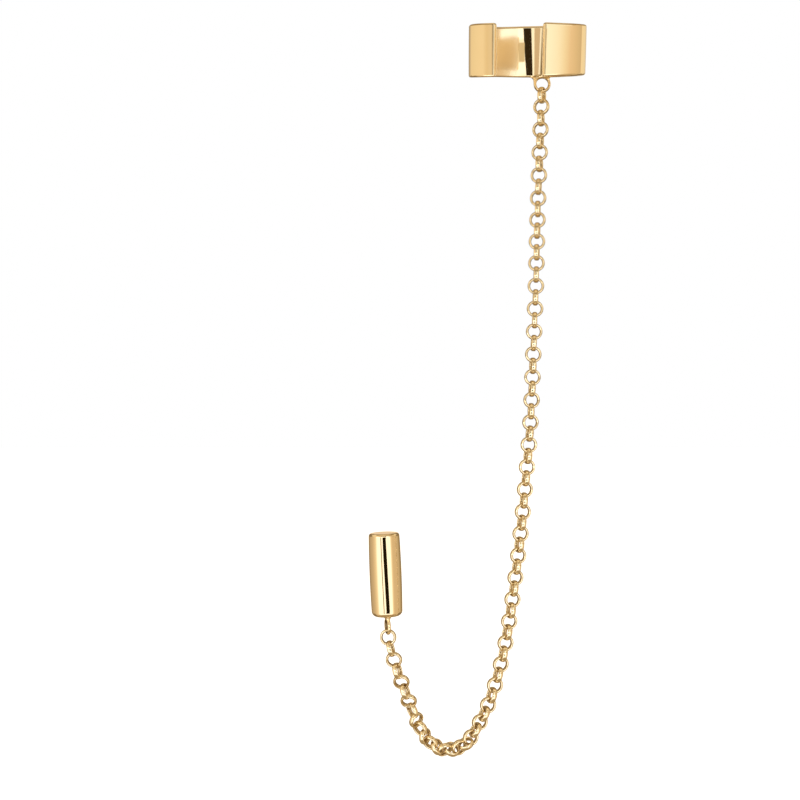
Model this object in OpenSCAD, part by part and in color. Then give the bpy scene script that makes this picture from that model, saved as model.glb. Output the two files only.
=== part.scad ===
// Ear chain earring in millimetres: an ear cuff and a bar stud joined by a belcher chain.
// +Z is up and the viewer looks along +Y. The origin is the middle of the cuff's hollow.

/* [Ear cuff] */
// Width of the cuff from side to side
cuff_w = 11.2; // [10:0.1:14]
// Reach of the band from its widest line to the front
cuff_front = 3.4; // [3:0.1:5]
// Reach of the band from its widest line to the back
cuff_back = 4.4; // [3.6:0.1:6]
// Squareness of the front corners, where 2 is an ellipse
front_square = 3; // [2:0.1:4]
// Height of the band
band_h = 4.85; // [3:0.05:8]
// Thickness of the band
band_t = 0.75; // [0.6:0.05:1.2]
// Rounding of the band's rims
rim_r = 0.2; // [0.08:0.02:0.28]
// Rounding of the arms' ends
end_r = 0.26; // [0.1:0.02:0.28]
// Width of the slit between the two arms
slit_w = 4.35; // [2:0.05:5]
// Distance of the slit's middle to the left of the cuff's middle
slit_left = 1; // [0:0.1:1.5]
// Forward tilt of the cuff as it hangs, in degrees
cuff_tilt = 14.4; // [0:0.2:20]
// Sideways lean of the cuff as it hangs, in degrees
cuff_lean = 0.5; // [0:0.5:4]

/* [Soldered eyes] */
// Outer diameter of each eye
eye_d = 1.7; // [1.6:0.05:2.4]
// Radial thickness of an eye's wire
eye_t = 0.3; // [0.25:0.05:0.4]
// Width of an eye's wire along its axis
eye_w = 0.6; // [0.4:0.05:0.8]
// Distance of the cuff's eye to the right of the cuff's middle
eye_right = 1.95; // [-2.5:0.05:2.5]
// Depth that the cuff's eye is sunk into the band's lower rim
eye_sink = 0.17; // [0.1:0.01:0.35]
// Radius of the solder's long left fillet beside the cuff's eye
solder_long = 0.6; // [0.2:0.05:0.8]
// Radius of the solder's short right fillet beside the cuff's eye
solder_short = 0.25; // [0.1:0.05:0.6]

/* [Belcher chain] */
// Drop of the chain's line from the cuff's eye to its lowest point
chain_fall = 66.55; // [50:0.05:90]
// Distance of the stud's eye to the left of the cuff's eye
chain_span = 15.45; // [13:0.05:20]
// Height of the stud's eye above the chain's lowest point
stud_rise = 12.35; // [10:0.05:20]
// Outer diameter of a link
link_d = 1.62; // [1.54:0.02:1.9]
// Radial thickness of a link's wire
link_t = 0.19; // [0.14:0.01:0.2]
// Width of a link's wire along its axis
link_w = 0.4; // [0.3:0.02:0.44]
// Clear gap between two links that hang straight
link_gap = 0.12; // [0.1:0.01:0.2]
// Clear gap between an eye's wire and the link that hangs in it
eye_gap = 0.2; // [0.18:0.01:0.3]

/* [Bar stud] */
// Diameter of the bar at its middle
bar_d = 3.2; // [2:0.05:5]
// Length of the bar
bar_l = 8.3; // [6:0.1:14]
// Slimming of the bar's radius towards its two ends
bar_slim = 0.06; // [0:0.01:0.2]
// Rounding of the bar's top edge
bar_top_r = 0.3; // [0.1:0.05:0.8]
// Rounding of the bar's bottom edge
bar_bottom_r = 0.5; // [0.1:0.05:0.8]
// Sideways lean of the hanging bar, in degrees
bar_lean = 2.3; // [0:0.1:5]
// Height of the solder neck between the bar and its eye
neck_h = 0.2; // [0.2:0.02:0.4]
// Radius of the solder neck where it meets the bar
neck_r = 0.8; // [0.7:0.05:0.9]
// Diameter of the post
post_d = 0.8; // [0.7:0.05:1]
// Length of the post behind the bar
post_l = 10; // [8:0.5:12]
// Distance of the post below the bar's top
post_drop = 2.6; // [1.5:0.1:4]

/* [Hidden] */
gold = [0.91, 0.75, 0.47];
deep_gold = [0.84, 0.66, 0.37];
// Stretches of the band, of one rounded corner, of the bar's side and of the chain's route
band_steps = 72;
corner_steps = 3;
side_steps = 8;
route_steps = 10;
// Flat sides of the ring that stands for a round wire's section
wire_steps = 8;
ring_fn = 48;
// Least corner left on a section, and depth that soldered pieces reach into each other
least_r = 0.03;
seat = 0.2;
// Height of the band along its length, as [share from the left arm's end, share of band_h]
band_heights = [[0, 1.01], [0.09, 1.01], [0.2, 1], [0.32, 0.98], [0.455, 1.01], [0.59, 1.015],
    [0.71, 0.985], [0.82, 0.95], [0.91, 0.98], [1, 1.015]];
// Route of the chain from the cuff's eye to its lowest point, as [share of chain_span, of chain_fall]
fall_route = [[0, 0], [0.0162, 0.1037], [0.0304, 0.2036], [0.0408, 0.3029], [0.0576, 0.4063], [0.0757, 0.5073],
    [0.1113, 0.6075], [0.156, 0.7089], [0.2136, 0.8068], [0.2673, 0.8708], [0.3508, 0.9331], [0.4628, 0.9817],
    [0.5262, 0.9952], [0.6084, 1]];
// Route of the chain from there up to the stud's eye, as [share of chain_span, of stud_rise]
rise_route = [[0.6524, 0.0097], [0.7236, 0.0583], [0.7871, 0.1676], [0.8382, 0.3109], [0.8854, 0.4672],
    [0.9359, 0.6348], [0.9793, 0.8154], [0.9968, 0.9069], [1, 1]];
// Twist of the chain about its own line, as [share of the route, degrees]
twist = [[0, 20], [0.2, 8], [0.4, -6], [0.55, -14], [0.72, -20], [0.77, -30], [0.82, -45], [0.88, -66],
    [0.93, -84], [1, -92]];
// Shares of the route that hang straight before and after the bottom bend
drop_share = 0.7237;
return_share = 0.0654;
// Step of the slack links in the bend, as a share of the straight step
slack = 0.83;

// Middle line of the band seen from above
mid_w = (cuff_w - band_t) / 2;
mid_front = cuff_front - band_t / 2;
mid_back = cuff_back - band_t / 2;
back_shift = (cuff_back - cuff_front) / 2;
function plan_power(a) = sin(a) < 0 ? front_square : 2;
function plan_depth(a) = sin(a) < 0 ? mid_front : mid_back;
function plan_sum(a, n) = pow(abs(cos(a)) / mid_w, n) + pow(abs(sin(a)) / plan_depth(a), n);
function plan(a) = pow(plan_sum(a, plan_power(a)), -1 / plan_power(a)) * [cos(a), sin(a)] - [0, back_shift];
function plan_heading(a) = (plan(a - 0.1) - plan(a + 0.1)) / norm(plan(a - 0.1) - plan(a + 0.1));
function front_depth(x) = -mid_front * pow(1 - pow(abs(x) / mid_w, front_square), 1 / front_square);
function back_depth(x) = mid_back * sqrt(1 - pow(x / mid_w, 2));
left_x = -slit_left - slit_w / 2;
right_x = -slit_left + slit_w / 2;
left_end = 360 + atan2(front_depth(left_x), left_x);
right_end = atan2(front_depth(right_x), right_x);
band_turn = left_end - right_end;
function band_share(a) = (left_end - a) / band_turn;
function band_height(a) = band_h * lookup(band_share(a), band_heights);

// Sections of the band, as [angle, inset]: a rounded end, the band and the other rounded end
function degrees_for(a, length) = length / norm(plan(a + 0.5) - plan(a - 0.5));
function end_back(k) = end_r * (1 - cos(90 * k / corner_steps));
function end_inset(k) = end_r * (1 - sin(90 * k / corner_steps));
left_cap = [for (k = [0:corner_steps - 1]) [left_end - degrees_for(left_end, end_back(k)), end_inset(k)]];
right_cap = [for (k = [corner_steps - 1:-1:0])
    [right_end + degrees_for(right_end, end_back(k)), end_inset(k)]];
first_full = left_end - degrees_for(left_end, end_r);
last_full = right_end + degrees_for(right_end, end_r);
band_body = [for (i = [0:band_steps]) [first_full + (last_full - first_full) * i / band_steps, 0]];
stations = concat(left_cap, band_body, right_cap);
function rounded_section(half_t, half_h, r) = [
    for (q = [0:3], k = [0:corner_steps])
        let (a = 90 * q + 90 * k / corner_steps)
        [(q == 0 || q == 3 ? 1 : -1) * (half_t - r) + r * cos(a),
         (q < 2 ? 1 : -1) * (half_h - r) + r * sin(a)]];
function band_ring(s) =
    let (spot = plan(s[0]), way = plan_heading(s[0]), r = max(rim_r - s[1], least_r))
    [for (p = rounded_section(band_t / 2 - s[1], band_height(s[0]) / 2 - s[1], r))
        [spot.x - way.y * p.x, spot.y + way.x * p.x, p.y]];
band_points = [for (s = stations) each band_ring(s)];
ring_size = 4 * (corner_steps + 1);
last_ring = (len(stations) - 1) * ring_size;
band_faces = concat(
    [[for (j = [0:ring_size - 1]) j]],
    [for (i = [0:len(stations) - 2], j = [0:ring_size - 1])
        let (a = i * ring_size + j, b = i * ring_size + (j + 1) % ring_size)
        [b, a, a + ring_size, b + ring_size]],
    [[for (j = [ring_size - 1:-1:0]) last_ring + j]]);

// Where a point of the upright cuff lies on the hanging one
function leaned(p) = [p.x * cos(cuff_lean) - p.z * sin(cuff_lean), p.y,
    p.x * sin(cuff_lean) + p.z * cos(cuff_lean)];
function tilted(p) = [p.x, p.y * cos(cuff_tilt) - p.z * sin(cuff_tilt),
    p.y * sin(cuff_tilt) + p.z * cos(cuff_tilt)];
eye_angle = atan2(back_depth(eye_right), eye_right);
eye_foot = tilted(leaned([eye_right, back_depth(eye_right) - back_shift, -band_height(eye_angle) / 2]));
eye_hang = eye_d / 2 - eye_sink;
eye_at = eye_foot - [0, 0, eye_hang];
eye_turn = atan2(plan_heading(eye_angle).y, plan_heading(eye_angle).x);

// The chain's line from eye to eye as [right, up], its links' places along it, and the two sides of the bend
route = concat([for (p = fall_route) [-p.x * chain_span, -p.y * chain_fall]],
    [for (p = rise_route) [-p.x * chain_span, p.y * stud_rise - chain_fall]]);
function before(i) = i > 0 ? route[i - 1] : 2 * route[0] - route[1];
function after(i) = i + 2 < len(route) ? route[i + 2] : 2 * route[i + 1] - route[i];
function curve(a, b, c, d, t) = ((2 * b) + (c - a) * t + (2 * a - 5 * b + 4 * c - d) * t * t
    + (3 * b - a - 3 * c + d) * t * t * t) / 2;
line = concat([for (i = [0:len(route) - 2], k = [0:route_steps - 1])
    curve(before(i), route[i], route[i + 1], after(i), k / route_steps)], [route[len(route) - 1]]);
along = [for (i = 0, s = 0; i < len(line);
    s = s + (i + 1 < len(line) ? norm(line[i + 1] - line[i]) : 0), i = i + 1) s];
route_l = along[len(along) - 1];
rights = [for (i = [0:len(line) - 1]) [along[i], line[i].x]];
ups = [for (i = [0:len(line) - 1]) [along[i], line[i].y]];
function on_line(s) = [lookup(s, rights), lookup(s, ups)];
function heading(s) = let (d = on_line(s + 0.1) - on_line(s - 0.1)) atan2(d.x, d.y);
eye_ir = eye_d / 2 - eye_t;
link_ir = link_d / 2 - link_t;
link_step = 2 * link_ir - link_gap;
end_step = eye_ir + link_ir - eye_gap;
drop_n = round((drop_share * route_l - end_step) / link_step);
return_n = round((return_share * route_l - end_step) / link_step);
bend_l = route_l - 2 * end_step - (drop_n + return_n) * link_step;
bend_n = 2 * round((bend_l / (slack * link_step) + drop_n + return_n) / 2) - drop_n - return_n;
links = drop_n + bend_n + return_n + 1;
bend_step = bend_l / bend_n;
function link_place(i) = end_step + min(i, drop_n) * link_step
    + min(max(i - drop_n, 0), bend_n) * bend_step + max(i - drop_n - bend_n, 0) * link_step;
lowest = min([for (p = line) p.y]);
low_s = max([for (i = [0:len(line) - 1]) if (line[i].y == lowest) along[i]]);
last_drop = max([for (i = [0:links - 1]) if (link_place(i) <= low_s) i]);

// The place of the stud's eye, and the outlines of the bar above it and of the solder neck between them
stud_at = eye_at + [route[len(route) - 1].x, 0, route[len(route) - 1].y];
bar_foot = eye_d / 2 + neck_h;
neck_foot = eye_d / 2 - seat;
neck_flare = neck_r - eye_w / 2;
neck_outline = concat([[0, neck_foot]],
    [for (k = [0:2 * corner_steps]) let (a = 90 * k / (2 * corner_steps))
        [neck_r - neck_flare * cos(a), neck_foot + (bar_foot - neck_foot) * sin(a)]],
    [[0, bar_foot + seat]]);
end_bar_r = bar_d / 2 - bar_slim;
function bar_arc(r, from, up) = [for (k = [0:2 * corner_steps])
    let (a = from + 90 * k / (2 * corner_steps)) [end_bar_r - r + r * cos(a), up + r * sin(a)]];
bar_side = [for (k = [1:side_steps - 1]) let (t = k / side_steps)
    [end_bar_r + bar_slim * (1 - pow(2 * t - 1, 2)), bar_bottom_r + t * (bar_l - bar_bottom_r - bar_top_r)]];
bar_outline = concat([[0, 0]], bar_arc(bar_bottom_r, -90, bar_bottom_r), bar_side,
    bar_arc(bar_top_r, 0, bar_l - bar_top_r), [[0, bar_l]]);

// A round wire's section, and a closed ring of it whose axis is X, Y or Z
function oval(t, w, sides) = [for (k = [0:sides - 1])
    [t / 2 * cos(360 * k / sides), w / 2 * sin(360 * k / sides)]];
module ring(d, t, section) {
    rotate_extrude($fn = ring_fn) translate([(d - t) / 2, 0]) polygon(section);
}
module eye() {
    ring(eye_d, eye_t, oval(eye_t, eye_w, wire_steps));
}
link_section = [[-link_t / 2, 0], [-link_t / 5, -link_w / 2], [link_t / 5, -link_w / 2],
    [link_t / 2, 0], [link_t / 5, link_w / 2], [-link_t / 5, link_w / 2]];

// The concave fillet of solder between the band's rim and one side of the eye
module solder_side(r) {
    drop = eye_hang - r;
    reach = sqrt(pow(eye_d / 2 + r, 2) - pow(drop, 2));
    difference() {
        translate([0, drop]) square([reach, r + seat]);
        translate([reach, drop]) circle(r, $fn = ring_fn);
        circle((eye_d - eye_t) / 2, $fn = ring_fn);
    }
}
module solder() {
    rotate([0, 0, eye_turn]) rotate([90, 0, 0]) linear_extrude(eye_w * 0.7, center = true) {
        solder_side(solder_short);
        mirror([1, 0]) solder_side(solder_long);
    }
}

module ear_cuff() {
    color(gold) {
        rotate([cuff_tilt, 0, 0]) rotate([0, -cuff_lean, 0]) polyhedron(band_points, band_faces);
        translate(eye_at) {
            rotate([90, 0, 0]) eye();
            solder();
        }
    }
}
module chain_link(i) {
    s = link_place(i);
    p = on_line(s);
    translate(eye_at + [p.x, 0, p.y]) rotate([0, heading(s), 0])
        rotate([0, 0, lookup(s / route_l, twist) + (i % 2 == 0 ? 90 : 0)])
            rotate([90, 0, 0]) ring(link_d, link_t, link_section);
}
module chain_drop() {
    color(deep_gold) for (i = [0:last_drop]) chain_link(i);
}
module chain_return() {
    color(deep_gold) for (i = [last_drop + 1:links - 1]) chain_link(i);
}
module bar_stud() {
    color(gold) translate(stud_at) rotate([0, -bar_lean, 0]) {
        rotate([0, 90, 0]) eye();
        rotate_extrude($fn = ring_fn) polygon(neck_outline);
        translate([0, 0, bar_foot]) {
            rotate_extrude($fn = 2 * ring_fn) polygon(bar_outline);
            translate([0, 0, bar_l - post_drop]) rotate([-90, 0, 0])
                cylinder(h = bar_d / 2 + post_l, d = post_d, $fn = ring_fn);
        }
    }
}

ear_cuff();
chain_drop();
chain_return();
bar_stud();
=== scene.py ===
import math

import bpy
import numpy as np
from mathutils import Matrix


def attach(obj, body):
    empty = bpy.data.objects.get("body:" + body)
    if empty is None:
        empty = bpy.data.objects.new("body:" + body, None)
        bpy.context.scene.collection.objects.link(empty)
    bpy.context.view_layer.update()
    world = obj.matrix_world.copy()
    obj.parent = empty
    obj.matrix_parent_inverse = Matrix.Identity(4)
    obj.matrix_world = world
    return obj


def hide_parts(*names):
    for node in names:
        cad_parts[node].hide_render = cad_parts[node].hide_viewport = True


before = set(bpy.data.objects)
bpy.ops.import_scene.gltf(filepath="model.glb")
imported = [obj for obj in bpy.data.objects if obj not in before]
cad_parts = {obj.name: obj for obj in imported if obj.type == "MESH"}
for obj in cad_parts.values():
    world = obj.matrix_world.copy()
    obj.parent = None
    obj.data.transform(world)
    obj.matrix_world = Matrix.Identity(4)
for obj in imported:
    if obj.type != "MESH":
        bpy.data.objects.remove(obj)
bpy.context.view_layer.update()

# Sizes in millimetres and angles in radians, the same as in the part's source unless a comment says otherwise
CUFF_W, CUFF_FRONT, CUFF_BACK, SQUARE = 11.2, 3.4, 4.4, 3.0
BAND_H, BAND_T, RIM_R, END_R = 4.85, 0.75, 0.2, 0.26
SLIT_W, SLIT_LEFT, TILT, LEAN = 4.35, 1.0, math.radians(14.4), math.radians(0.5)
# How far the band's walls swell at mid height, outside and inside. The source leaves them flat.
OUTER_DOME, INNER_DOME = 0.012, 0.1
# The band's inside is satin in front of the first line and brushed behind it, to the left of the second
SATIN_TO, BRUSHED_TO = -0.6, -0.55
# The eyes' wire, EYE_T, is 0.03 mm thinner than in the source
EYE_D, EYE_T, EYE_W, EYE_RIGHT, EYE_SINK = 1.7, 0.27, 0.6, 1.95, 0.17
CHAIN_FALL, CHAIN_SPAN, STUD_RISE = 66.55, 15.45, 12.35
# The links are fuller than the source's and touch, as real ones do
LINK_D, LINK_T, LINK_W = 1.66, 0.27, 0.5
LINKS, LAST_DROP = 77, 62
BAR_D, BAR_L, BAR_SLIM, TOP_R, BOTTOM_R = 3.2, 8.3, 0.06, 0.3, 0.5
BAR_LEAN, NECK_H, POST_D, POST_L, POST_DROP = math.radians(2.3), 0.2, 0.8, 10.0, 2.6
# The stud's eye is narrower than the source's and turned a little about the bar
STUD_EYE_W, STUD_EYE_TURN = 0.34, math.radians(14)
# The grid on which the soldered eyes are surfaced, and how far under the metal's face they begin
CELL, SKIN_LIFT = 0.025, 0.004
MM = 0.001

# The band's height from its left end to its right end, as [share of the way, share of the height]
HEIGHTS = [[0, 1.01], [0.09, 1.01], [0.2, 1], [0.32, 0.98], [0.455, 1.01], [0.59, 1.015],
           [0.71, 0.985], [0.82, 0.95], [0.91, 0.98], [1, 1.015]]
# The chain's line, first down as [share of the span, share of the fall], then up as [share of the span,
# share of the rise]
FALL_ROUTE = [[0, 0], [0.0162, 0.1037], [0.0304, 0.2036], [0.0408, 0.3029], [0.0576, 0.4063],
              [0.0757, 0.5073], [0.1113, 0.6075], [0.156, 0.7089], [0.2136, 0.8068], [0.2673, 0.8708],
              [0.3508, 0.9331], [0.4628, 0.9817], [0.5262, 0.9952], [0.6084, 1]]
RISE_ROUTE = [[0.6524, 0.0097], [0.7236, 0.0583], [0.7871, 0.1676], [0.8382, 0.3109], [0.8854, 0.4672],
              [0.9359, 0.6348], [0.9793, 0.8154], [0.9968, 0.9069], [1, 1]]
# Distance of a link's middle from the cuff's eye, along the chain's line, as [link, distance]
PLACES = [[0, 1.1], [9, 11.4], [15, 17.9], [27, 31.6], [37, 42.8], [49, 56.05], [53, 60.4], [55, 62.5],
          [57, 64.4], [59, 66.2], [61, 67.75], [64, 70.0], [66, 71.65], [68, 73.5], [72, 77.6], [76, 82.25]]
# How far the links are turned about the chain's line, as [share of its length, degrees]
TWIST = [[0, 25], [0.08, 17], [0.2, 9], [0.4, -6], [0.55, -14], [0.79, -16], [0.82, -32], [0.872, -44],
         [0.893, -62], [0.905, -104], [0.93, -109], [0.96, -102], [1, -95]]
# How far the slack links lean over, as [link, degrees]. From BOTH_LEAN on, only every other link does.
TILTS = [[56, 0], [59, 8], [61, 22], [64, 28], [66, 30], [68, 34], [70, 29], [72, 25], [74, 12], [76, 0]]
BOTH_LEAN = 64


# materials
def nodes_of(thing):
    thing.use_nodes = True
    return thing.node_tree.nodes, thing.node_tree.links


def gold(name, tone_a, tone_b, rough, ripple, scratch, metal=1.0):
    """Gold plate: a slow drift between two tones, hair-fine scratches that add to the roughness, and a faint
    ripple in the polish, in metres."""
    mat = bpy.data.materials.new(name)
    nodes, links = nodes_of(mat)
    shader = nodes["Principled BSDF"]
    shader.inputs["Metallic"].default_value = metal
    place = nodes.new("ShaderNodeTexCoord")
    drift = nodes.new("ShaderNodeTexNoise")
    drift.inputs["Scale"].default_value = 420.0
    drift.inputs["Detail"].default_value = 3.0
    links.new(place.outputs["Object"], drift.inputs["Vector"])
    tone = nodes.new("ShaderNodeMix")
    tone.data_type = "RGBA"
    tone.inputs["A"].default_value = (*tone_a, 1)
    tone.inputs["B"].default_value = (*tone_b, 1)
    links.new(drift.outputs["Fac"], tone.inputs["Factor"])
    links.new(tone.outputs["Result"], shader.inputs["Base Color"])
    stretch = nodes.new("ShaderNodeMapping")
    stretch.inputs["Rotation"].default_value = (0.5, 0.9, 0.3)
    stretch.inputs["Scale"].default_value = (1.0, 0.05, 1.0)
    links.new(place.outputs["Object"], stretch.inputs["Vector"])
    hair = nodes.new("ShaderNodeTexNoise")
    hair.inputs["Scale"].default_value = 26000.0
    hair.inputs["Detail"].default_value = 4.0
    hair.inputs["Roughness"].default_value = 0.7
    links.new(stretch.outputs["Vector"], hair.inputs["Vector"])
    spread = nodes.new("ShaderNodeMapRange")
    spread.inputs["From Min"].default_value = 0.35
    spread.inputs["From Max"].default_value = 0.75
    spread.inputs["To Min"].default_value = rough
    spread.inputs["To Max"].default_value = rough + scratch
    links.new(hair.outputs["Fac"], spread.inputs["Value"])
    links.new(spread.outputs["Result"], shader.inputs["Roughness"])
    wave = nodes.new("ShaderNodeTexNoise")
    wave.inputs["Scale"].default_value = 520.0
    wave.inputs["Detail"].default_value = 1.0
    links.new(place.outputs["Object"], wave.inputs["Vector"])
    bump = nodes.new("ShaderNodeBump")
    bump.inputs["Strength"].default_value = 1.0
    bump.inputs["Distance"].default_value = ripple
    links.new(wave.outputs["Fac"], bump.inputs["Height"])
    links.new(bump.outputs["Normal"], shader.inputs["Normal"])
    return mat


POLISHED = gold("polished_gold", (0.97, 0.80, 0.52), (0.99, 0.83, 0.56), 0.03, 4e-6, 0.05)
CHAIN = gold("chain_gold", (0.98, 0.84, 0.59), (1.0, 0.88, 0.64), 0.04, 2e-6, 0.06)
BRUSHED = gold("brushed_gold", (0.94, 0.79, 0.55), (0.96, 0.82, 0.59), 0.15, 3e-6, 0.06)
SATIN = gold("satin_gold", (1.0, 0.88, 0.66), (1.0, 0.91, 0.71), 0.5, 3e-6, 0.1, 0.35)
# Near-black gold for the inside of the stud's eye: painted shade in the hole
PAINTED_SHADE = gold("painted_shade_gold", (0.24, 0.17, 0.09), (0.30, 0.22, 0.12), 0.2, 3e-6, 0.12)
# Darker, rougher gold for the inner flank of each link, facing its hole: painted shade, with a duller finish
DULL_AND_SHADED = gold("dull_painted_shade_gold", (0.62, 0.49, 0.30), (0.70, 0.56, 0.36), 0.18, 3e-6, 0.12)


# meshes
def dressed(name, points, faces, normals, finish, mats, node, slot):
    """A smooth piece from points in millimetres with its own normals, that stands for one node of the part.
    Finish gives the number of each face's material."""
    mesh = bpy.data.meshes.new(name)
    mesh.from_pydata((np.asarray(points) * MM).tolist(), [], [list(map(int, f)) for f in faces])
    mesh.polygons.foreach_set("use_smooth", np.ones(len(mesh.polygons), bool))
    length = np.linalg.norm(normals, axis=1, keepdims=True)
    mesh.normals_split_custom_set_from_vertices((normals / np.where(length > 0, length, 1)).tolist())
    for mat in mats:
        mesh.materials.append(mat)
    for k in np.flatnonzero(finish):
        mesh.polygons[int(k)].material_index = int(finish[k])
    piece = bpy.data.objects.new(name, mesh)
    bpy.context.scene.collection.objects.link(piece)
    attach(piece, "root")
    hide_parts(node)


class Parts:
    """Collects points, faces and normals of one piece."""

    def __init__(self):
        self.points, self.faces, self.normals, self.count = [], [], [], 0

    def add(self, points, faces, normals):
        self.points.append(np.asarray(points, float))
        self.normals.append(np.asarray(normals, float))
        self.faces += [[i + self.count for i in f] for f in faces]
        self.count += len(points)

    def done(self):
        return np.concatenate(self.points), self.faces, np.concatenate(self.normals)


def turn(axis, angle):
    """The matrix of a turn about one axis."""
    c, s = math.cos(angle), math.sin(angle)
    if axis == "x":
        return np.array([[1, 0, 0], [0, c, -s], [0, s, c]])
    if axis == "y":
        return np.array([[c, 0, s], [0, 1, 0], [-s, 0, c]])
    return np.array([[c, -s, 0], [s, c, 0], [0, 0, 1]])


def table(rows, x):
    """The value at x between rows of [x, value]."""
    rows = np.array(rows, float)
    return np.interp(x, rows[:, 0], rows[:, 1])


def revolve(outline, tangents, count):
    """Turns an outline of [radius, height] about Z. A radius of zero closes the end with one point."""
    points, normals, rings = [], [], []
    for (r, z), (nr, nz) in zip(outline, tangents):
        if r < 1e-6:
            rings.append([len(points)])
            points.append([0, 0, z])
            normals.append([0, 0, nz])
            continue
        rings.append(list(range(len(points), len(points) + count)))
        for k in range(count):
            a = 2 * math.pi * k / count
            points.append([r * math.cos(a), r * math.sin(a), z])
            normals.append([nr * math.cos(a), nr * math.sin(a), nz])
    faces = []
    for a, b in zip(rings, rings[1:]):
        for k in range(count):
            m = (k + 1) % count
            if len(a) == 1:
                faces.append([a[0], b[m], b[k]])
            elif len(b) == 1:
                faces.append([a[k], a[m], b[0]])
            else:
                faces.append([a[k], a[m], b[m], b[k]])
    return np.array(points), faces, np.array(normals)


# the cuff's band
MID_W, MID_FRONT, MID_BACK = (CUFF_W - BAND_T) / 2, CUFF_FRONT - BAND_T / 2, CUFF_BACK - BAND_T / 2
BACK_SHIFT = (CUFF_BACK - CUFF_FRONT) / 2


def plan(a):
    """The band's middle line seen from above, by its angle in radians."""
    a = np.asarray(a, float)
    n = np.where(np.sin(a) < 0, SQUARE, 2.0)
    depth = np.where(np.sin(a) < 0, MID_FRONT, MID_BACK)
    r = (np.abs(np.cos(a) / MID_W) ** n + np.abs(np.sin(a) / depth) ** n) ** (-1 / n)
    return np.stack([r * np.cos(a), r * np.sin(a) - BACK_SHIFT], -1)


def front_depth(x):
    """Where the band's middle line runs in front, at x and before the shift."""
    return -MID_FRONT * (1 - (abs(x) / MID_W) ** SQUARE) ** (1 / SQUARE)


left_x, right_x = -SLIT_LEFT - SLIT_W / 2, -SLIT_LEFT + SLIT_W / 2
left_end = 2 * math.pi + math.atan2(front_depth(left_x), left_x)
right_end = math.atan2(front_depth(right_x), right_x)
UPRIGHT = turn("x", TILT) @ turn("y", -LEAN)


def band_height(a):
    """The band's height at an angle, as the source has it."""
    return BAND_H * table(HEIGHTS, (left_end - a) / (left_end - right_end))


def soft_height(a):
    """The height without kinks, as an average over a short stretch."""
    return sum(band_height(a + d) for d in np.linspace(-0.12, 0.12, 9)) / 9


def section(half_t, half_h, r, steps, dome, inner_dome):
    """A rounded section as [across, up], with its normals. Its walls swell at mid height."""
    out, normals = [], []
    for q in range(4):
        for k in range(steps + 1):
            a = math.pi / 2 * (q + k / steps)
            sx, sz = (1 if q in (0, 3) else -1), (1 if q < 2 else -1)
            out.append([sx * (half_t - r) + r * math.cos(a), sz * (half_h - r) + r * math.sin(a)])
            normals.append([math.cos(a), math.sin(a)])
        if q in (0, 2):
            flat = half_t - r
            side = 1 if q == 0 else -1
            for k in range(1, 4):
                out.append([side * flat * (1 - 2 * k / 4), side * half_h])
                normals.append([0, side])
        else:
            tall = half_h - r
            side = -1 if q == 1 else 1
            for k in range(1, 16):
                z = -side * tall * (1 - 2 * k / 16)
                out.append([side * half_t, z])
                normals.append([side, 0])
    out, normals = np.array(out), np.array(normals)
    depth = np.where(out[:, 0] < 0, inner_dome, dome)
    swell = depth * np.clip(1 - (out[:, 1] / half_h) ** 2, 0, 1)
    slope = 2 * depth * out[:, 1] / half_h ** 2
    out[:, 0] += out[:, 0] / half_t * swell
    normals[:, 1] += np.abs(normals[:, 0]) * slope
    return out, normals / np.linalg.norm(normals, axis=1, keepdims=True)


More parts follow.
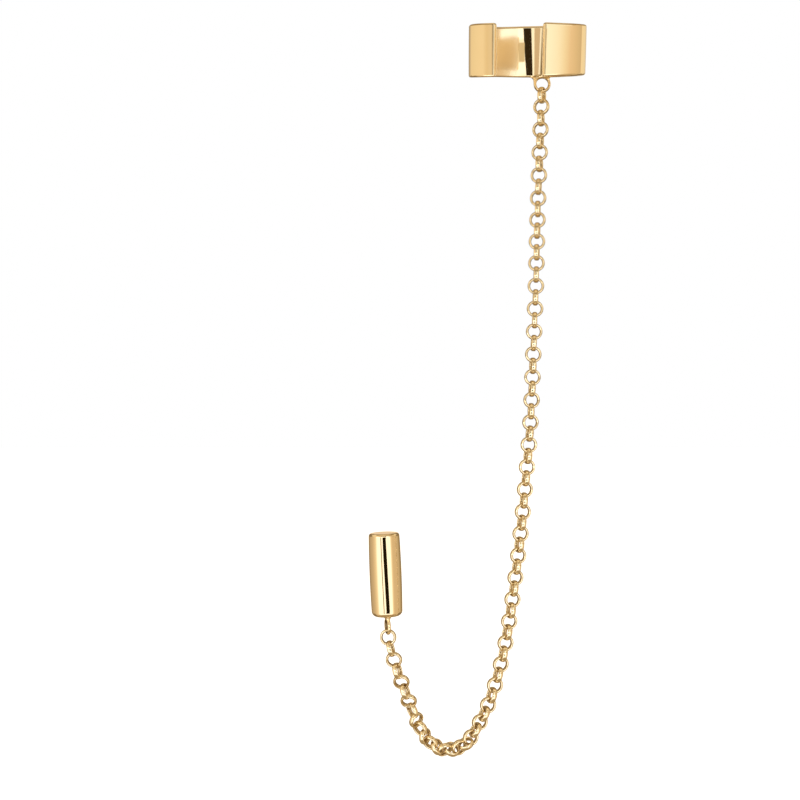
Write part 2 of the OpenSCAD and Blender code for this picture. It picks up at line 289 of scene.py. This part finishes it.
def band():
    """The open band with rounded ends, and the number of each face's finish."""
    cap_steps, rim_steps, wall_steps = 8, 6, 260
    speed = np.linalg.norm(plan(left_end + 0.01) - plan(left_end - 0.01)) / 0.02
    speed_r = np.linalg.norm(plan(right_end + 0.01) - plan(right_end - 0.01)) / 0.02
    stops = []
    for k in range(cap_steps):
        t = math.pi / 2 * k / cap_steps
        inset = END_R * (1 - math.sin(t))
        stops.append((left_end - END_R * (1 - math.cos(t)) / speed, inset, math.pi / 2 - t, 1))
    first, last = left_end - END_R / speed, right_end + END_R / speed_r
    walk = np.linspace(first, last, 2000)
    run = np.concatenate([[0], np.cumsum(np.linalg.norm(np.diff(plan(walk), axis=0), axis=1))])
    for s in np.linspace(0, run[-1], wall_steps):
        stops.append((float(np.interp(s, run, walk)), 0.0, 0.0, 0))
    for k in range(cap_steps - 1, -1, -1):
        t = math.pi / 2 * k / cap_steps
        inset = END_R * (1 - math.sin(t))
        stops.append((right_end + END_R * (1 - math.cos(t)) / speed_r, inset, math.pi / 2 - t, -1))
    points, normals = [], []
    for a, inset, lean, end in stops:
        here = plan(a)
        way = plan(a - 1e-4) - plan(a + 1e-4)
        way /= np.linalg.norm(way)
        across = np.array([-way[1], way[0]])
        half_h = float(soft_height(a)) / 2 - inset
        half_t, rim = BAND_T / 2 - inset, max(RIM_R - inset, 0.02)
        out, face = section(half_t, half_h, rim, rim_steps, OUTER_DOME, INNER_DOME)
        body = np.column_stack([here[0] + across[0] * out[:, 0], here[1] + across[1] * out[:, 0], out[:, 1]])
        bare = np.column_stack([across[0] * face[:, 0], across[1] * face[:, 0], face[:, 1]])
        if end:
            bare = bare * math.cos(lean) + np.array([way[0], way[1], 0]) * -end * math.sin(lean)
        points.append(body)
        normals.append(bare)
    size = len(points[0])
    faces = []
    for i in range(len(stops) - 1):
        for j in range(size):
            a, b = i * size + j, i * size + (j + 1) % size
            faces.append([a, b, b + size, a + size])
    points, normals = np.concatenate(points), np.concatenate(normals)
    extra_p, extra_n = [], []
    for end, start in ((1, 0), (-1, (len(stops) - 1) * size)):
        ring = points[start:start + size]
        face = normals[start:start + size].mean(0)
        face /= np.linalg.norm(face)
        centre = len(points) + len(extra_p)
        extra_p.append(ring.mean(0))
        extra_n.append(face)
        for j in range(size):
            a, b = start + j, start + (j + 1) % size
            faces.append([b, a, centre] if end == 1 else [a, b, centre])
    points = np.concatenate([points, np.array(extra_p)])
    normals = np.concatenate([normals, np.array(extra_n)])
    middle = np.array([points[f].mean(0) for f in faces])
    normal = np.array([normals[f].mean(0) for f in faces])
    inside = (normal[:, 0] * middle[:, 0] / MID_W ** 2 + normal[:, 1] * middle[:, 1] / MID_FRONT ** 2) < 0
    inside &= np.abs(normal[:, 2]) < 0.6
    front, left = middle[:, 1] < SATIN_TO, middle[:, 0] < BRUSHED_TO
    satin, brushed = inside & front, inside & ~front & left
    return points @ UPRIGHT.T, faces, normals @ UPRIGHT.T, satin + 2 * brushed


# blended metal
def oval_ring(p, major, half_t, half_w):
    """Distance to a ring about Y with an oval section."""
    q = np.stack([np.hypot(p[..., 0], p[..., 2]) - major, p[..., 1]], -1)
    k = np.sqrt((q[..., 0] / half_t) ** 2 + (q[..., 1] / half_w) ** 2)
    g = np.sqrt((q[..., 0] / half_t ** 2) ** 2 + (q[..., 1] / half_w ** 2) ** 2)
    return (k - 1) * k / np.maximum(g, 1e-9)


def round_box(u, v, half_u, half_v, r):
    """Distance to a box with rounded corners, in two directions."""
    a, b = np.abs(u) - half_u + r, np.abs(v) - half_v + r
    return np.minimum(np.maximum(a, b), 0) + np.hypot(np.maximum(a, 0), np.maximum(b, 0)) - r


def melt(a, b, k):
    """Two distances joined with a fillet of about k, as solder does."""
    h = np.maximum(k - np.abs(a - b), 0) / k
    return np.minimum(a, b) - h * h * k / 4


def gradient(f, p, e=1e-4):
    """The direction in which f grows, at each point."""
    out = np.empty_like(p)
    for i in range(3):
        d = np.zeros(3)
        d[i] = e
        out[..., i] = (f(p + d) - f(p - d)) / (2 * e)
    return out


def skin(f, low, high, cell):
    """The surface where f is zero, as points, faces and normals."""
    low = np.array(low, float)
    n = [int(math.ceil((h - l) / cell)) + 1 for l, h in zip(low, high)]
    axes = [low[i] + cell * np.arange(n[i]) for i in range(3)]
    grid = np.stack(np.meshgrid(*axes, indexing="ij"), -1)
    inside = f(grid) < 0
    count = np.zeros([m - 1 for m in n], int)
    for dx in (0, 1):
        for dy in (0, 1):
            for dz in (0, 1):
                count += inside[dx:n[0] - 1 + dx, dy:n[1] - 1 + dy, dz:n[2] - 1 + dz]
    cells = (count > 0) & (count < 8)
    index = -np.ones(cells.shape, int)
    where = np.argwhere(cells)
    index[tuple(where.T)] = np.arange(len(where))
    p = low + cell * (where + 0.5)
    for _ in range(6):
        g = gradient(f, p)
        step = f(p)[:, None] * g / np.maximum((g * g).sum(1, keepdims=True), 1e-9)
        p = p - np.clip(step, -cell, cell)
        p = np.clip(p, low + cell * (where - 0.05), low + cell * (where + 1.05))
    g = gradient(f, p)
    faces = []
    for axis in range(3):
        o1, o2 = [(1, 2), (2, 0), (0, 1)][axis]
        a = [slice(None)] * 3
        b = [slice(None)] * 3
        a[axis], b[axis] = slice(0, -1), slice(1, None)
        cross = inside[tuple(a)] != inside[tuple(b)]
        for c in np.argwhere(cross):
            if min(c[o1], c[o2]) < 1 or c[o1] >= n[o1] - 1 or c[o2] >= n[o2] - 1:
                continue
            quad = []
            for s1, s2 in ((0, 0), (1, 0), (1, 1), (0, 1)):
                d = c.copy()
                d[o1] -= s1
                d[o2] -= s2
                quad.append(index[tuple(d)])
            if min(quad) < 0:
                continue
            faces.append(quad if inside[tuple(c)] else quad[::-1])
    return p, faces, g


def ellipse_offset(x, y):
    """Distance to the back half of the band's middle line, positive outside, and the nearest place's angle."""
    t = np.arctan2(y / MID_BACK, x / MID_W)
    for _ in range(5):
        c, s = np.cos(t), np.sin(t)
        d1 = (MID_W * c - x) * (-MID_W * s) + (MID_BACK * s - y) * (MID_BACK * c)
        d2 = (MID_W * s) ** 2 + (MID_BACK * c) ** 2
        d2 = d2 - (MID_W * c - x) * MID_W * c - (MID_BACK * s - y) * MID_BACK * s
        t = t - d1 / np.where(np.abs(d2) > 1e-6, d2, 1e-6)
    c, s = np.cos(t), np.sin(t)
    nx, ny = c / MID_W, s / MID_BACK
    n = np.hypot(nx, ny)
    return ((x - MID_W * c) * nx + (y - MID_BACK * s) * ny) / n, t


eye_back = MID_BACK * math.sqrt(1 - (EYE_RIGHT / MID_W) ** 2)
eye_angle = math.atan2(eye_back, EYE_RIGHT)
EYE_AT = UPRIGHT @ np.array([EYE_RIGHT, eye_back - BACK_SHIFT, -float(band_height(eye_angle)) / 2])
EYE_AT = EYE_AT - np.array([0, 0, EYE_D / 2 - EYE_SINK])
RING_MID = (EYE_D - EYE_T) / 2


def cuff_eye(p):
    """The cuff's eye and its solder, in millimetres from the eye's middle."""
    ring = oval_ring(p, RING_MID, EYE_T / 2, EYE_W / 2)
    up = (p + EYE_AT) @ UPRIGHT
    across, t = ellipse_offset(up[..., 0], up[..., 1] + BACK_SHIFT)
    angle = np.arctan2(MID_BACK * np.sin(t), MID_W * np.cos(t))
    half_h = soft_height(angle) / 2
    swell = np.where(across < 0, INNER_DOME, OUTER_DOME) * np.clip(1 - (up[..., 2] / half_h) ** 2, 0, 1)
    wall = round_box(across, up[..., 2], BAND_T / 2 + swell, half_h, RIM_R) + SKIN_LIFT
    # More solder on the left, none up the wall and little inside the ring
    left = np.clip(0.5 - p[..., 0] / 0.5, 0, 1)
    solder = (0.35 + 0.45 * left) * np.clip(1 - (up[..., 2] + half_h) / 0.4, 0.1, 1)
    out = np.hypot(p[..., 0], p[..., 2])
    solder = solder * np.clip((out - 0.5) / 0.25, 0.12, 1)
    return melt(ring, wall, solder)


def ear_cuff():
    """The band with its eye. The eye's faces count as outside, so finish stops before them."""
    out = Parts()
    points, faces, normals, finish = band()
    out.add(points, faces, normals)
    p, faces, n = skin(cuff_eye, (-1.9, -0.62, -0.95), (1.5, 0.62, 1.0), CELL)
    out.add(p + EYE_AT, faces, n)
    return *out.done(), finish


# the chain
def chain_line():
    """A smooth line through the route's points, with the way along it, from the middle of the cuff's eye."""
    route = [(-x * CHAIN_SPAN, -y * CHAIN_FALL) for x, y in FALL_ROUTE]
    route += [(-x * CHAIN_SPAN, y * STUD_RISE - CHAIN_FALL) for x, y in RISE_ROUTE]
    r = np.array(route)
    r = np.concatenate([[2 * r[0] - r[1]], r, [2 * r[-1] - r[-2]]])
    line = []
    for i in range(1, len(r) - 2):
        a, b, c, d = r[i - 1], r[i], r[i + 1], r[i + 2]
        for t in np.arange(10) / 10:
            bend, last = 2 * a - 5 * b + 4 * c - d, 3 * b - a - 3 * c + d
            line.append((2 * b + (c - a) * t + bend * t * t + last * t ** 3) / 2)
    line = np.array(line + [r[-2]])
    run = np.concatenate([[0], np.cumsum(np.linalg.norm(np.diff(line, axis=0), axis=1))])
    return line, run


LINE, RUN = chain_line()
LENGTH = RUN[-1]
STUD_AT = EYE_AT + np.array([LINE[-1][0], 0, LINE[-1][1]])


def on_line(s):
    """The place on the chain's line at a distance along it."""
    s = np.clip(s, 0, LENGTH)
    return np.array([np.interp(s, RUN, LINE[:, 0]), np.interp(s, RUN, LINE[:, 1])])


def link_shape():
    """A round link whose axis is Y, of oval rolled wire, and which of its faces are on the inside, where it
    gets painted shade.
    """
    major, around, sides, flat, inner_from = (LINK_D - LINK_T) / 2, 48, 12, 0.85, -0.6
    points, normals, faces, inner = [], [], [], []
    for i in range(around):
        a = 2 * math.pi * i / around
        for j in range(sides):
            b = 2 * math.pi * j / sides
            cb, sb = math.cos(b), math.sin(b)
            u = LINK_T / 2 * math.copysign(abs(cb) ** flat, cb)
            w = LINK_W / 2 * math.copysign(abs(sb) ** flat, sb)
            nu = math.copysign(abs(cb) ** (2 - flat), cb) / LINK_T
            nw = math.copysign(abs(sb) ** (2 - flat), sb) / LINK_W
            points.append([(major + u) * math.cos(a), w, (major + u) * math.sin(a)])
            normals.append([nu * math.cos(a), nw, nu * math.sin(a)])
            m, q = (i + 1) % around, (j + 1) % sides
            faces.append([i * sides + j, i * sides + q, m * sides + q, m * sides + j])
            # The faces on the inner flank, which take the painted shade
            inner.append(math.cos(b + math.pi / sides) < inner_from)
    return np.array(points), faces, np.array(normals), inner


def link_turn(i, s):
    """How a link is turned: along the line, about it, and leaning over where the chain is slack."""
    d = on_line(s + 0.1) - on_line(s - 0.1)
    twist = float(table(TWIST, s / LENGTH)) + (90 if i % 2 == 0 else 0) + 3.0 * math.sin(2.3 * i)
    leans = i % 2 == 0 or i < BOTH_LEAN
    tilt = leans * float(table(TILTS, i)) + 2.0 * math.sin(1.7 * i + 1)
    return turn("y", math.atan2(d[0], d[1])) @ turn("z", math.radians(twist)) @ turn("x", math.radians(tilt))


def chain(first, last):
    """The links from first to last as one mesh of loose rings."""
    points, faces, normals, inner = link_shape()
    out = Parts()
    places = table(PLACES, np.arange(LINKS))
    for i in range(first, last + 1):
        m = link_turn(i, places[i])
        at = on_line(places[i])
        out.add(points @ m.T + EYE_AT + np.array([at[0], 0, at[1]]), faces, normals @ m.T)
    return *out.done(), inner * (last + 1 - first)


# the bar
BAR_FOOT = EYE_D / 2 + NECK_H
END_BAR_R = BAR_D / 2 - BAR_SLIM
LEANING = turn("y", -BAR_LEAN)
EYE_TURN = turn("z", STUD_EYE_TURN)


def bar_profile():
    """The bar's outline from its foot to its top, slightly fuller at mid height."""
    outline, normals = [[0, 0]], [[0, -1]]
    flat = END_BAR_R - BOTTOM_R
    for k in range(1, 4):
        outline.append([flat * k / 4, 0])
        normals.append([0, -1])
    for k in range(13):
        a = -math.pi / 2 + math.pi / 2 * k / 12
        outline.append([flat + BOTTOM_R * math.cos(a), BOTTOM_R + BOTTOM_R * math.sin(a)])
        normals.append([math.cos(a), math.sin(a)])
    low, high = BOTTOM_R, BAR_L - TOP_R
    for k in range(1, 32):
        t = k / 32
        outline.append([END_BAR_R + BAR_SLIM * (1 - (2 * t - 1) ** 2), low + t * (high - low)])
        normals.append([1, BAR_SLIM * 4 * (2 * t - 1) / (high - low)])
    top = END_BAR_R - TOP_R
    for k in range(11):
        a = math.pi / 2 * k / 10
        outline.append([top + TOP_R * math.cos(a), high + TOP_R * math.sin(a)])
        normals.append([math.cos(a), math.sin(a)])
    for k in range(1, 5):
        outline.append([top * (1 - k / 5), BAR_L])
        normals.append([0, 1])
    outline.append([0, BAR_L])
    normals.append([0, 1])
    return outline, normals


def post_profile():
    """The post's outline, from inside the bar through its fillet of solder to its rounded tip."""
    r = POST_D / 2
    end = BAR_D / 2 + POST_L
    start, fillet, tip, steps = 0.6, 0.3, 0.3, 8
    outline, normals = [[0, start], [r + fillet + 0.02, start]], [[0, -1], [0, -1]]
    for k in range(steps + 1):
        a = math.pi / 2 * k / steps
        outline.append([r + fillet - fillet * math.sin(a), BAR_D / 2 + 0.25 - fillet * math.cos(a)])
        normals.append([math.sin(a), math.cos(a)])
    for z in np.linspace(BAR_D / 2 + 0.5, end - tip, 12):
        outline.append([r, float(z)])
        normals.append([1, 0])
    for k in range(1, steps + 1):
        a = math.pi / 2 * k / steps
        outline.append([r * math.cos(a) if k < steps else 0, end - tip + tip * math.sin(a)])
        normals.append([math.cos(a), math.sin(a)])
    return outline, normals


def stud_eye(p):
    """The stud's eye and its solder, in millimetres from the eye's middle, along the leaning bar."""
    q = p @ EYE_TURN
    ring = oval_ring(np.stack([q[..., 1], q[..., 0], q[..., 2]], -1), RING_MID, EYE_T / 2, STUD_EYE_W / 2)
    out = np.hypot(p[..., 0], p[..., 1])
    bar = round_box(out, p[..., 2] - BAR_FOOT - BAR_L / 2, END_BAR_R, BAR_L / 2, BOTTOM_R) + SKIN_LIFT
    # Little solder inside the ring
    near = np.hypot(p[..., 1], p[..., 2])
    return melt(ring, bar, 0.1 + 0.65 * np.clip((near - 0.6) / 0.25, 0, 1))


def bar_stud():
    """The bar, the post and the eye, and which faces are on the eye's inside, where it gets painted shade."""
    bar_sides, post_sides = 144, 40
    out = Parts()
    p, faces, n = revolve(*bar_profile(), bar_sides)
    out.add(p + [0, 0, BAR_FOOT], faces, n)
    p, faces, n = revolve(*post_profile(), post_sides)
    m = turn("x", -math.pi / 2)
    out.add(p @ m.T + [0, 0, BAR_FOOT + BAR_L - POST_DROP], faces, n @ m.T)
    p, faces, n = skin(stud_eye, (-1.3, -1.3, -0.95), (1.3, 1.3, 1.18), CELL)
    out.add(p, faces, n)
    p, faces, n = out.done()
    # Faces inside the eye's hole take the painted shade
    middle = np.array([p[f].mean(0) for f in faces]) @ EYE_TURN
    inner = np.hypot(middle[:, 1], middle[:, 2]) < RING_MID - 0.05
    return p @ LEANING.T + STUD_AT, faces, n @ LEANING.T, inner


# pieces
dressed("cuff_visual", *ear_cuff(), [POLISHED, SATIN, BRUSHED], "ear_cuff", "polished_gold")
# The links' inner flanks take the second material, darker with painted shade
dressed("drop_visual", *chain(0, LAST_DROP), [CHAIN, DULL_AND_SHADED], "chain_drop", "chain_gold")
dressed("return_visual", *chain(LAST_DROP + 1, LINKS - 1), [CHAIN, DULL_AND_SHADED], "chain_return", "chain_gold")
dressed("stud_visual", *bar_stud(), [POLISHED, PAINTED_SHADE], "bar_stud", "polished_gold")


class Graph:
    """Short names for the shader nodes that the studio uses."""

    def __init__(self, thing):
        self.nodes, self.links = nodes_of(thing)

    def feed(self, socket, value):
        """Sets a socket to a number or a colour, or links it to another node."""
        if isinstance(value, (int, float)):
            socket.default_value = value
        elif isinstance(value, tuple):
            socket.default_value = (*value, 1)
        else:
            self.links.new(value, socket)

    def sum(self, kind, *values):
        """One step of arithmetic."""
        node = self.nodes.new("ShaderNodeMath")
        node.operation = kind
        for socket, value in zip(node.inputs, values):
            self.feed(socket, value)
        return node.outputs[0]

    def span(self, value, low, high):
        """Zero below low and one above high, with soft ends. The other way round where low is above high."""
        node = self.nodes.new("ShaderNodeMapRange")
        node.interpolation_type = "SMOOTHSTEP"
        self.feed(node.inputs["Value"], value)
        node.inputs["From Min"].default_value = min(low, high)
        node.inputs["From Max"].default_value = max(low, high)
        node.inputs["To Min"].default_value = 0.0 if low < high else 1.0
        node.inputs["To Max"].default_value = 1.0 if low < high else 0.0
        return node.outputs["Result"]

    def blend(self, factor, a, b):
        """From colour a where the factor is 0 to colour b where it is 1."""
        node = self.nodes.new("ShaderNodeMix")
        node.data_type = "RGBA"
        self.feed(node.inputs["Factor"], factor)
        self.feed(node.inputs["A"], a)
        self.feed(node.inputs["B"], b)
        return node.outputs["Result"]

    def ramp(self, share, rows):
        """Colours by angle from -180 to 180 degrees, halved."""
        node = self.nodes.new("ShaderNodeValToRGB")
        spots = node.color_ramp.elements
        for k, (angle, colour) in enumerate(rows):
            spot = spots[k] if k < 2 else spots.new(1.0)
            spot.position = (angle + 180) / 360
        for k, (angle, colour) in enumerate(rows):
            spots[k].color = (*[c / 2 for c in colour], 1)
        self.links.new(share, node.inputs["Fac"])
        return node.outputs["Color"]


def glow(name, colour, strength=1.0):
    """A plain light of one colour."""
    mat = bpy.data.materials.new(name)
    g = Graph(mat)
    g.nodes.remove(g.nodes["Principled BSDF"])
    light = g.nodes.new("ShaderNodeEmission")
    g.feed(light.inputs["Color"], colour)
    light.inputs["Strength"].default_value = strength
    g.links.new(light.outputs["Emission"], g.nodes["Material Output"].inputs["Surface"])
    return mat


# The tent in metres
TENT_R, TENT_X, TENT_FROM, TENT_TO, TENT_SIDES = 0.064, -0.004, -0.15, 0.05, 96
# Its light by angle in degrees, with 0 in front and 90 at the right: low, for the chain and the bar, and high,
# for the cuff
TENT_LOW = [(-180, (.22, .16, .08)), (-150, (.30, .22, .12)), (-118, (.54, .42, .28)),
            (-98, (.64, .50, .33)), (-84, (.80, .63, .42)), (-72, (.95, .80, .58)), (-64, (1.25, 1.2, 1.1)),
            (-56, (1.35, 1.33, 1.28)), (38, (1.35, 1.33, 1.28)), (43, (1.1, 1.02, .84)), (50, (.88, .70, .47)),
            (60, (.73, .56, .36)), (95, (.68, .52, .33)), (118, (.60, .47, .30)), (150, (.32, .23, .12)),
            (180, (.22, .16, .08))]
TENT_HIGH = [(-180, (.30, .22, .13)), (-155, (.55, .44, .29)), (-137, (.86, .70, .46)),
             (-100, (.90, .75, .51)), (-74, (.93, .77, .53)), (-58, (.93, .77, .53)), (-44, (.83, .66, .42)),
             (-31, (.84, .69, .48)), (-29, (.2, .14, .07)), (-25, (.2, .14, .07)), (-22, (1.15, 1.1, 1.0)),
             (6, (1.15, 1.12, 1.02)), (20, (1.05, 1.06, .95)), (30, (1.02, .96, .80)), (40, (.95, .82, .60)),
             (52, (.86, .66, .44)), (68, (.78, .60, .38)), (86, (.70, .55, .35)), (93, (.66, .50, .32)),
             (97, (.95, .80, .56)), (125, (.88, .76, .55)), (150, (.70, .56, .38)), (165, (.45, .34, .2)),
             (180, (.30, .22, .13))]


def tent():
    """The bright tent round the earring, as mirrors see it. The camera looks through it.
    It shines at strength 2, so the ramps' halved colours count once and the other colours twice."""
    mat = glow("tent", (0, 0, 0), 2.0)
    g = Graph(mat)
    place = g.nodes.new("ShaderNodeTexCoord")
    split = g.nodes.new("ShaderNodeSeparateXYZ")
    g.links.new(place.outputs["Object"], split.inputs["Vector"])
    x, y, z = split.outputs
    share = g.sum("MULTIPLY_ADD", g.sum("ARCTAN2", x, g.sum("MULTIPLY", y, -1.0)), 0.5 / math.pi, 0.5)
    colour = g.blend(g.span(z, -0.036, -0.026), g.ramp(share, TENT_LOW), g.ramp(share, TENT_HIGH))

    def sector(low, high, soft):
        a = g.span(share, (low - soft + 180) / 360, (low + 180) / 360)
        b = g.span(share, (high + soft + 180) / 360, (high + 180) / 360)
        return g.sum("MULTIPLY", a, b)

    def outside(low, high, soft):
        return g.sum("SUBTRACT", 1.0, sector(low, high, soft))

    def belt(low, high, soft):
        return g.sum("MULTIPLY", g.span(z, low - soft, low), g.span(z, high + soft, high))

    def patch(where, height, shade):
        return g.blend(g.sum("MULTIPLY", where, height), colour, shade)

    dark, stripe = (.13, .095, .055), (.12, .09, .05)
    # Darker behind: between the cuff and the bar, beside the cuff, and below the chain
    behind, far = outside(-100, 100, 12), outside(-128, 128, 12)
    colour = patch(behind, belt(-0.046, -0.018, 0.003), dark)
    colour = patch(far, belt(-0.018, 0.001, 0.003), dark)
    colour = patch(behind, belt(-0.14, -0.078, 0.004), dark)
    # What the bar's top mirrors, and a bright belt just above the bar
    colour = patch(outside(-161, 190, 3), belt(-0.047, -0.033, 0.001), (.42, .325, .22))
    colour = patch(sector(-62, 30, 6), belt(-0.046, -0.038, 0.003), (1.6, 1.5, 1.25))
    # The bright upper and lower parts of the cuff's inside
    colour = patch(sector(4, 33, 6), belt(-0.0052, 0.001, 0.0015), (.72, .72, .70))
    colour = patch(sector(33, 50, 5), belt(-0.0025, 0.004, 0.0015), (.78, .76, .72))
    colour = patch(sector(-2, 30, 6), belt(-0.027, -0.021, 0.002), (.70, .69, .66))
    # Thin dark belts that outline the cuff's rims, and the tent's two ends
    colour = patch(sector(-48, 60, 6), belt(0.012, 0.016, 0.002), stripe)
    colour = patch(sector(-60, 80, 8), belt(-0.037, -0.033, 0.0015), stripe)
    colour = g.blend(g.span(z, 0.020, 0.032), colour, (.20, .145, .08))
    colour = g.blend(g.span(z, -0.105, -0.125), colour, (.22, .165, .095))
    g.links.new(colour, g.nodes["Emission"].inputs["Color"])
    points, faces = [], []
    for k in range(TENT_SIDES):
        a = 2 * math.pi * k / TENT_SIDES
        for h in (TENT_FROM, TENT_TO):
            points.append((TENT_R * math.cos(a), TENT_R * math.sin(a), h))
        m = (k + 1) % TENT_SIDES
        faces.append((2 * k, 2 * k + 1, 2 * m + 1, 2 * m))
    hidden_card("tent", points, faces, mat).location = (TENT_X, 0, 0)


def hidden_card(name, points, faces, mat):
    """A light that the camera doesn't see and that throws no shadow, in metres."""
    mesh = bpy.data.meshes.new(name)
    mesh.from_pydata(points, [], faces)
    mesh.materials.append(mat)
    card = bpy.data.objects.new(name, mesh)
    bpy.context.scene.collection.objects.link(card)
    card.visible_camera = False
    card.visible_shadow = False
    return card


def strip(name, y, top, bottom, half_top, half_bottom, colour):
    """A narrow leaning card in front of the tent's wall, from top to bottom as (x, z) in metres."""
    points = [(top[0] - half_top, y, top[1]), (top[0] + half_top, y, top[1]),
              (bottom[0] + half_bottom, y, bottom[1]), (bottom[0] - half_bottom, y, bottom[1])]
    hidden_card(name, points, [(0, 1, 2, 3)], glow(name, colour))


def studio():
    """The world, the lights and the white floor."""
    world = bpy.data.worlds.new("studio")
    bpy.context.scene.world = world
    g = Graph(world)
    place = g.nodes.new("ShaderNodeTexCoord")
    split = g.nodes.new("ShaderNodeSeparateXYZ")
    g.links.new(place.outputs["Generated"], split.inputs["Vector"])
    colour = g.blend(g.span(split.outputs[2], -0.5, 0.5), (.20, .145, .08), (.18, .13, .07))
    colour = g.blend(g.span(split.outputs[2], 0.86, 0.95), colour, (.40, .32, .21))
    path = g.nodes.new("ShaderNodeLightPath")
    colour = g.blend(path.outputs["Is Camera Ray"], colour, (0.5, 0.5, 0.5))
    g.links.new(colour, g.nodes["Background"].inputs["Color"])
    g.nodes["Background"].inputs["Strength"].default_value = 2.0
    tent()
    strip("cuff_strip", -0.060, (0.0002, 0.004), (-0.0069, -0.0305), 0.0074, 0.0066, (.03, .019, .008))
    strip("cuff_line", -0.060, (-0.0225, 0.004), (-0.0260, -0.0305), 0.0092, 0.0092, (.66, .51, .35))
    strip("cuff_card", -0.012, (0.0021, -0.0006), (0.0021, -0.0047), 0.0011, 0.0011, (.72, .585, .39))
    strip("bar_strip", -0.060, (-0.0165, -0.0465), (0.0020, -0.0760), 0.0145, 0.0150, (.012, .007, .002))
    strip("bar_line", -0.040, (-0.0350, -0.0455), (-0.0275, -0.0720), 0.0026, 0.0026, (.30, .21, .11))
    # Two cards that light the satin inside of the cuff and show in no mirror
    mat = glow("fill_light", (1.0, 0.9, 0.74), 2.6)
    for name, z, right in (("fill_above", 0.008, 0.005), ("fill_below", -0.008, -0.0008)):
        points = [(-0.006, -0.003, z), (right, -0.003, z), (right, 0.006, z), (-0.006, 0.006, z)]
        hidden_card(name, points, [(0, 1, 2, 3)], mat).visible_glossy = False
    mat = bpy.data.materials.new("floor")
    g = Graph(mat)
    shader = g.nodes["Principled BSDF"]
    shader.inputs["Base Color"].default_value = (0.9, 0.9, 0.9, 1)
    shader.inputs["Roughness"].default_value = 0.9
    shader.inputs["Emission Color"].default_value = (1, 1, 1, 1)
    shader.inputs["Emission Strength"].default_value = 1.0
    mesh = bpy.data.meshes.new("floor")
    wide, low = 3, -0.16
    mesh.from_pydata([(-wide, -wide, low), (wide, -wide, low), (wide, wide, low), (-wide, wide, low)], [],
                     [(0, 1, 2, 3)])
    mesh.materials.append(mat)
    floor = bpy.data.objects.new("floor", mesh)
    bpy.context.scene.collection.objects.link(floor)
    floor.visible_glossy = False


studio()

cam = bpy.data.cameras.new("camera")
cam.lens = 54
cam.sensor_width = 36
cam.clip_start = 0.001
cam.clip_end = 10
eye = bpy.data.objects.new("camera", cam)
eye.location = (-0.012246, -0.11627, -0.033817)
eye.rotation_euler = (math.pi / 2, 0, 0)
bpy.context.scene.collection.objects.link(eye)
bpy.context.scene.camera = eye
bpy.context.scene.view_settings.view_transform = "Standard"
